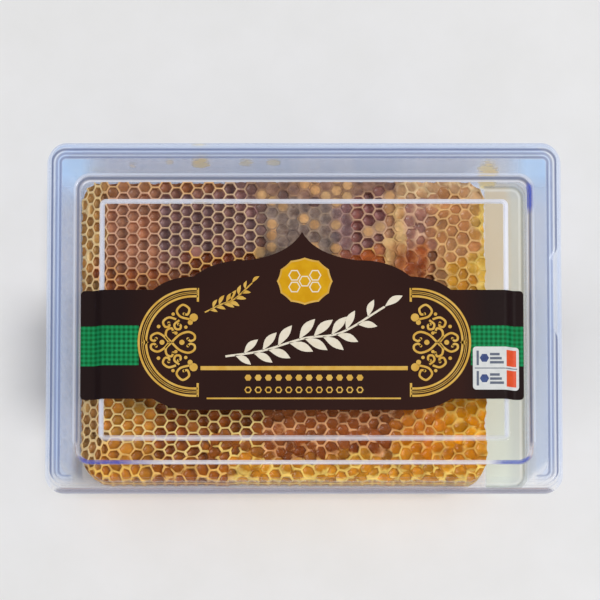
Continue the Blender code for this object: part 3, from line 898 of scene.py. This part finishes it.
def paint_comb(mesh, outline, along):
    """Stores on each point the colours of its wall and cell, how deep it lies and how wet it is."""
    points = vectors(mesh, "co") / MM
    upright = vectors(mesh, "normal")[:, 2]
    values = areas_at(points[:, :2])
    paint_cells(points, values)
    tops = np.array([comb_height(x, y) for x, y, _ in points])
    sunk = np.clip((tops - points[:, 2]) / 1.2, 0.0, 1.0)
    lumps = np.array([waver(x, y, 1.6, 40.0) for x, y, _ in points])
    sunk = np.clip(sunk + values[:, 7] * 0.35 * lumps, 0.0, 1.0)
    tree = tree_of(outline)
    cut = []
    for k in np.nonzero((np.abs(upright) < 0.6) & (points[:, 2] < tops - 1.5))[0]:
        x, y, z = points[k]
        _, near, gap = tree.find((x, y, 0.0))
        if gap < 4.0:
            sunk[k] = 0.15 + 0.75 * channel(along[near])
            if MIDRIB_Z[0] - 0.6 < z < MIDRIB_Z[1] + 0.6:
                sunk[k] = 0.1
            cut.append(k)
    wet = np.clip(0.25 + 0.5 * sunk + 0.4 * values[:, 8] - 0.5 * values[:, 9], 0.0, 1.0)
    wet[cut] = 0.0
    alpha = np.ones((len(points), 1))
    for name, rows in (("rim_colour", values[:, 0:3]), ("inside_colour", values[:, 3:6])):
        layer = mesh.attributes.new(name, "FLOAT_COLOR", "POINT")
        layer.data.foreach_set("color", np.hstack([rows, alpha]).ravel())
    for name, numbers in (("sunk", sunk), ("wet", wet)):
        layer = mesh.attributes.new(name, "FLOAT", "POINT")
        layer.data.foreach_set("value", numbers)


def make_comb(material):
    sheet = make_cell_sheet()
    block, outline, along = make_block()
    modify(block, "BOOLEAN", operation="INTERSECT", solver="MANIFOLD", object=sheet)
    comb = applied(block, "honeycomb_wax", 50)
    bpy.data.objects.remove(sheet, do_unlink=True)
    comb.data.materials.clear()
    comb.data.materials.append(material)
    paint_comb(comb.data, outline, along)
    belongs(comb, "comb", "honeycomb")


# Label and seal


def sheet_height(x):
    top = BOX_HEIGHT - RECESS_DROP + PLATFORM_RISE
    near_edge, far_edge = LABEL_BEND
    return top - PLATFORM_RISE * ease(abs(x), near_edge - 0.6, far_edge + 0.6)


def label_outline():
    """The label's edge, clockwise from its peak: three arcs down to each straight end, and a belly."""
    peak, dip, brow, shoulder = (0.0, 49.9), (24.0, 37.2), (47.2, 29.9), (64.6, LABEL_HALF_WIDTH)
    heel, belly = (64.6, -LABEL_HALF_WIDTH), (48.1, -29.0)
    right = [peak, *arc_to(peak, (5.5, 39.5), dip), *arc_to(dip, (38.0, 37.5), brow)]
    right += arc_to(brow, (57.5, 30.0), shoulder)
    steps = 6
    ends = rounded_outline(LABEL_HALF_LENGTH, LABEL_HALF_WIDTH, LABEL_CORNER, steps)
    right += ends[2 * steps + 1 :: -1] + [heel]
    right += arc_to(heel, (57.0, -29.0), belly)
    left = [(-x, y) for x, y in reversed(right) if x > 0.0]
    return [(LABEL_X + x, LABEL_Y + y) for x, y in right + left]


def bent_sheet(name, outlines, lift, thickness, material, *owner):
    """Flat shapes laid on the bent lid. owner holds a slot name, which is not used, and the node that it
    replaces.
    """
    bm = bmesh.new()
    for outline in outlines:
        bm.faces.new([bm.verts.new((x, y, 0.0)) for x, y in outline])
    for step in range(-1, 8):
        for side in (-1, 1):
            place = (side * (LABEL_BEND[0] + BEND_STEP * step), 0.0, 0.0)
            whole = bm.verts[:] + bm.edges[:] + bm.faces[:]
            bmesh.ops.bisect_plane(bm, geom=whole, plane_co=place, plane_no=(1.0, 0.0, 0.0))
    bmesh.ops.triangulate(bm, faces=bm.faces)
    bm.normal_update()
    bmesh.ops.reverse_faces(bm, faces=[f for f in bm.faces if f.normal.z < 0])
    for vert in bm.verts:
        vert.co.z = sheet_height(vert.co.x) + lift
        vert.co *= MM
    mesh = bpy.data.meshes.new(name)
    bm.to_mesh(mesh)
    bm.free()
    sheet = add_object(name, mesh)
    mesh.materials.append(material)
    modify(sheet, "SOLIDIFY", thickness=thickness * MM, offset=1.0)
    belongs(applied(sheet, name, 40), *owner)


def smooth_path(points, steps=8):
    """A Catmull-Rom curve through the points."""
    points = np.array(points)
    points = [2 * points[0] - points[1], *points, 2 * points[-1] - points[-2]]
    path = []
    for a, b, c, d in zip(points, points[1:], points[2:], points[3:]):
        for step in range(steps):
            t = step / steps
            square = (2 * a - 5 * b + 4 * c - d) * t**2
            cube = (3 * b - a - 3 * c + d) * t**3
            path.append(0.5 * (2 * b + (c - a) * t + square + cube))
    return path + [points[-2]]


def ribbon(path, width):
    """The outline pieces of a stroke along a path, one four-sided piece for each step."""
    path = np.array(path)
    longer = np.concatenate([path[:1], path, path[-1:]])
    way = longer[2:] - longer[:-2]
    across = way[:, ::-1] * (-1.0, 1.0) / np.hypot(*way.T)[:, None] * width / 2
    sides = list(zip(path + across, path - across))
    return [(left, right, *after[::-1]) for (left, right), after in zip(sides, sides[1:])]


def round_shape(centre_x, centre_y, *radii, count=14):
    """A disc, or a shape whose points lie at each of the radii by turns."""
    points = []
    for k in range(count):
        angle = 2 * math.pi * k / count
        radius = radii[k % len(radii)]
        points.append((centre_x + radius * math.cos(angle), centre_y + radius * math.sin(angle)))
    return points


# Half ovals of print at the label's ends, in millimetres from each one's centre. Right of the centre
# is towards the label's middle, and all but the arcs repeat upside down below.
OVAL_CENTRES = (-48.0, 48.3, -12.3)  # left x, right x, y of both
OVAL_OUTER = 23.6
OVAL_LINE = 0.95
OVAL_ARCS = ((OVAL_OUTER, OVAL_LINE), (20.4, OVAL_LINE), (21.6, 0.28), (22.3, 0.28))  # radius, width
OVAL_END = 2.0
OVAL_BAR = 5.6
SCROLL_TIP = 0.62
SCROLLS = (
    ((-9.4, 0.0), (-6.0, 3.3), (-2.2, 4.6), (0.4, 3.4), (0.6, 1.4), (-1.2, 0.6), (-2.3, 1.6)),
    ((-10.4, 0.0), (-12.6, 2.6), (-15.4, 4.1), (-18.0, 3.0), (-18.2, 1.2), (-16.8, 0.7), (-16.0, 1.7)),
    ((-9.8, 0.4), (-11.8, 2.7), (-11.4, 5.4), (-9.4, 6.2), (-8.6, 4.6)),
    ((-7.4, 10.2), (-10.6, 11.0), (-13.0, 9.2), (-12.2, 6.9), (-10.4, 7.2), (-10.6, 8.6)),
    ((-6.0, 9.8), (-8.1, 8.0), (-7.6, 6.0), (-5.8, 5.9), (-5.4, 7.4), (-6.4, 8.0)),
    ((-1.6, 10.2), (-5.6, 11.4), (-7.1, 14.1), (-4.6, 16.6), (-1.8, 14.9), (-2.4, 12.4), (-4.0, 12.6)),
)
DOTS = (
    *((-4.9, 0.0, 1.15), (-13.5, 0.0, 1.1), (-7.5, 4.1, 0.75), (-15.0, 7.0, 0.8)),
    *((-8.7, 12.5, 0.75), (0.2, 11.0, 1.8), (-1.3, 8.8, 1.1), (-3.2, 6.7, 0.75)),
)
SMALL_STAR = (-20.8, 0.0, 1.5, 0.75)


def oval_print():
    """Every shape of the two half ovals: double arcs, end bars, scrolls, dots and a small star."""
    half = []
    for radius, width in OVAL_ARCS:
        half += ribbon([(OVAL_END, radius), *arc(0, 0, radius, 90, 180, 48), (OVAL_END, -radius)], width)
    for up in (-1, 1):
        bar = [(OVAL_END, up * (OVAL_OUTER + OVAL_LINE / 2)), (OVAL_END, up * (OVAL_OUTER - OVAL_BAR))]
        half += ribbon(bar, OVAL_LINE)
        for scroll in SCROLLS:
            path = [(x, up * y) for x, y in scroll]
            half += ribbon(smooth_path(path), OVAL_LINE)
            half.append(round_shape(*path[-1], SCROLL_TIP))
        half += [round_shape(x, up * y, radius) for x, y, radius in DOTS if up == 1 or y != 0.0]
    half.append(round_shape(*SMALL_STAR, count=8))
    left_x, right_x, middle_y = OVAL_CENTRES
    left = [[(left_x + x, middle_y + y) for x, y in shape] for shape in half]
    return left + [[(right_x - x, middle_y + y) for x, y in shape] for shape in half]


BADGE_CENTRE = np.array((0.35, 14.8))
BADGE_HALF = np.array((12.1, 10.5))
BADGE_LOBES = 12
BADGE_CELLS = ((0.0, 0.0), (4.5, 2.6), (4.5, -2.6), (-4.5, 2.6), (-4.5, -2.6))


def badge_outline(shrink):
    angle = np.linspace(0.0, 2 * math.pi, 120, endpoint=False)[:, None]
    lobe = 1.0 - 0.055 * abs(np.sin(BADGE_LOBES * angle / 2)) ** 0.8
    reach = BADGE_HALF * lobe - shrink
    return BADGE_CENTRE + reach * np.hstack([np.cos(angle), np.sin(angle)])


# Each spray: points of its stem, the stem's width, then its leaves' number, length and width
LARGE_SPRAY = (((-34.0, -18.5), (-18.0, -16.0), (0.0, -10.5), (16.0, -8.0), (35.0, 3.5)), 0.9, 8, 11.5, 3.9)
SMALL_SPRAY = (((-43.0, 1.0), (-36.0, 4.5), (-30.0, 7.0), (-22.5, 14.0)), 0.6, 6, 5.4, 1.8)
BEAD_COUNT = 12
BEAD_STEP = 4.4
BEAD_ROWS = (-27.9, -33.3)


def leaf(foot, angle, length, width):
    """A pointed leaf as one outline, widest a little past its middle."""
    t = np.linspace(0.0, 1.0, 8)
    half = width / 2 * np.sin(math.pi * t**1.15)
    bow = 0.5 * np.sin(math.pi * t)
    along = length * np.concatenate([t, t[-2:0:-1]])
    across = np.concatenate([bow + half, (bow - half)[-2:0:-1]])
    cos, sin = math.cos(angle), math.sin(angle)
    return foot + np.stack([along * cos - across * sin, along * sin + across * cos], axis=1)


def spray(stem, stem_width, count, length, width):
    """A bowed stem with leaves to both sides by turns and one at its tip."""
    path = smooth_path(stem)
    shapes = ribbon(path, stem_width)
    for k in range(2 * count):
        at = round((0.08 + 0.84 * k / (2 * count - 1)) * (len(path) - 2))
        way = path[at + 1] - path[at]
        lean = math.radians(38.0) * (1 if k % 2 else -1)
        size = 0.72 + 0.28 * math.sin(math.pi * k / (2 * count - 1))
        shapes.append(leaf(path[at], math.atan2(way[1], way[0]) + lean, length * size, width * size))
    way = path[-1] - path[-2]
    shapes.append(leaf(path[-1], math.atan2(way[1], way[0]), 0.8 * length, 0.8 * width))
    return shapes


def hexagon_ring(centre_x, centre_y, radius, width):
    outer, inner = (round_shape(centre_x, centre_y, r, count=6) for r in (radius, radius - width))
    return [[outer[k - 1], outer[k], inner[k], inner[k - 1]] for k in range(6)]


def box_shape(low_x, high_x, low_y, high_y):
    return [(low_x, low_y), (high_x, low_y), (high_x, high_y), (low_x, high_y)]


BAND_Y = (-22.4, -4.8)
BAND_ENDS = (-71.6, 72.3)


def make_label(materials):
    lift = STUCK
    bent_sheet("label_film", [label_outline()], lift, SHEET, materials["film"], "label_print", "label")
    lift += SHEET + 0.01
    half = LABEL_HALF_LENGTH - 0.05
    bands = [
        box_shape(LABEL_X - half, BAND_ENDS[0], *BAND_Y),
        box_shape(BAND_ENDS[1], LABEL_X + half, *BAND_Y),
    ]
    bars = [box_shape(-44.8, 44.9, -24.6, -22.8), box_shape(-42.1, 41.9, -37.4, -36.7)]
    cells = []
    for step in BADGE_CELLS:
        cells += hexagon_ring(*(BADGE_CENTRE + step), 2.7, 0.55)
    beads = []
    for k in range(BEAD_COUNT):
        x = BEAD_STEP * (k - (BEAD_COUNT - 1) / 2)
        beads.append(round_shape(x, BEAD_ROWS[0], 1.5, count=6))
        beads += hexagon_ring(x, BEAD_ROWS[1], 1.6, 0.6)
    for name, outlines, rise, ink in (
        ("label_green_bands", bands, 0.0, "green"),
        ("label_gold_ornament", oval_print() + bars, 0.04, "gold"),
        ("label_badge_rim", [badge_outline(0.0)], 0.0, "gold"),
        ("label_badge", [badge_outline(0.8)], 0.04, "badge"),
        ("label_badge_cells", cells, 0.08, "cream"),
        ("label_large_spray", spray(*LARGE_SPRAY), 0.0, "cream"),
        ("label_small_spray", spray(*SMALL_SPRAY), 0.0, "gold"),
        ("label_bead_rows", beads, 0.0, "gold"),
    ):
        bent_sheet(name, outlines, lift + rise, PRINT_DEPTH, materials[ink], "label_print")


def make_seal(materials):
    centre_x, centre_y = SEAL_CENTRE

    def shape(low_x, high_x, low_y, high_y):
        return box_shape(centre_x + low_x, centre_x + high_x, centre_y + low_y, centre_y + high_y)

    lift = 2 * STUCK + SHEET + 0.06
    outline = [(centre_x + x, centre_y + y) for x, y in rounded_outline(*SEAL_HALF, SEAL_CORNER, 6)]
    bent_sheet("seal_paper", [outline], lift, SHEET, materials["seal"], "seal_paper", "seal_sticker")
    lift += SHEET + 0.01
    squares, bars, spots = [], [], []
    for y in (-4.5, 4.5):
        squares.append(shape(4.6, 8.8, y - 3.6, y + 3.6))
        bars.append(shape(-8.4, -7.4, y - 3.2, y + 3.2))
        bars += [shape(-2.6, 3.4 - 0.9 * k, y - 2.5 + 1.8 * k, y - 1.4 + 1.8 * k) for k in range(3)]
        spots.append(round_shape(centre_x - 5.0, centre_y + y, 2.0, count=6))
    bars.append(shape(-9.2, 9.2, -0.2, 0.2))
    for name, outlines, ink in (
        ("seal_orange_squares", squares, "orange"),
        ("seal_grey_bars", bars, "grey"),
        ("seal_blue_spots", spots, "blue"),
    ):
        bent_sheet(name, outlines, lift, PRINT_DEPTH, materials[ink], "seal_paper")


# Stage


def make_floor():
    s = Shader("pale_floor", Roughness=0.7)
    s.feed(Base_Color=s.blend(s.noise(30.0).ramp(0.3, 0.7), (238, 238, 238), (242, 242, 243)))
    size = 3000.0
    corners = [(x, y, 0.0) for x, y in box_shape(-size, size, -size, size)]
    floor = add_mesh("floor", corners, [(0, 1, 2, 3)], s.material)
    floor.location.z = -0.0002


def area_light(name, place, size, power, colour=(1.0, 1.0, 1.0)):
    light = bpy.data.lights.new(name, "AREA")
    light.shape = "RECTANGLE"
    light.size, light.size_y = size
    light.energy = power
    light.color = colour
    thing = add_object(name, light)
    thing.location = place
    thing.rotation_euler = (-Vector(place)).to_track_quat("-Z", "Y").to_euler()


def make_light_and_camera():
    scene = bpy.context.scene
    world = bpy.data.worlds.new("studio")
    world.use_nodes = True
    background = world.node_tree.nodes["Background"]
    background.inputs["Color"].default_value = (0.97, 0.98, 1.0, 1.0)
    background.inputs["Strength"].default_value = 0.38
    scene.world = world
    area_light("key", (1.6, -0.15, 2.8), (1.3, 1.3), 51.0, (1.0, 0.985, 0.96))
    area_light("fill", (-1.8, -0.6, 2.4), (1.8, 1.8), 18.0)
    scene.view_settings.view_transform = "Standard"
    scene.cycles.transparent_max_bounces = 24
    scene.cycles.max_bounces = 8

    camera_data = bpy.data.cameras.new("camera")
    camera_data.lens = PHOTO_SCALE * VIEW_DISTANCE * 1000.0 / PHOTO_SIZE * camera_data.sensor_width
    camera = add_object("camera", camera_data)
    camera.rotation_euler.x = math.radians(VIEW_TILT)
    across = (PHOTO_SIZE / 2 - PHOTO_LID_MIDDLE[0]) / PHOTO_SCALE * MM
    up = (PHOTO_LID_MIDDLE[1] - PHOTO_SIZE / 2) / PHOTO_SCALE * MM
    from_lid = Vector((across, up, VIEW_DISTANCE))
    from_lid.rotate(camera.rotation_euler)
    camera.location = Vector((0.0, 0.0, BOX_HEIGHT * MM)) + from_lid
    scene.camera = camera


def main():
    plastic = clear_plastic()
    make_base(plastic)
    make_lid(plastic)
    make_comb(comb_wax())
    prints = {
        "film": label_film(),
        "gold": gold_print("gold_print", (226, 184, 92), (212, 164, 66)),
        "badge": gold_print("badge_print", (214, 156, 0), (222, 168, 8)),
        "cream": paper("cream_print", (240, 232, 214), (232, 220, 196)),
        "green": green_check(),
        "seal": paper("seal_white", (226, 227, 226), (214, 217, 217)),
        "orange": paper("seal_orange", (236, 84, 22), (226, 70, 20)),
        "grey": paper("seal_grey", (104, 112, 128), (88, 96, 118)),
        "blue": paper("seal_blue", (34, 52, 110), (60, 84, 140)),
    }
    make_label(prints)
    make_seal(prints)
    make_floor()
    make_light_and_camera()


main()
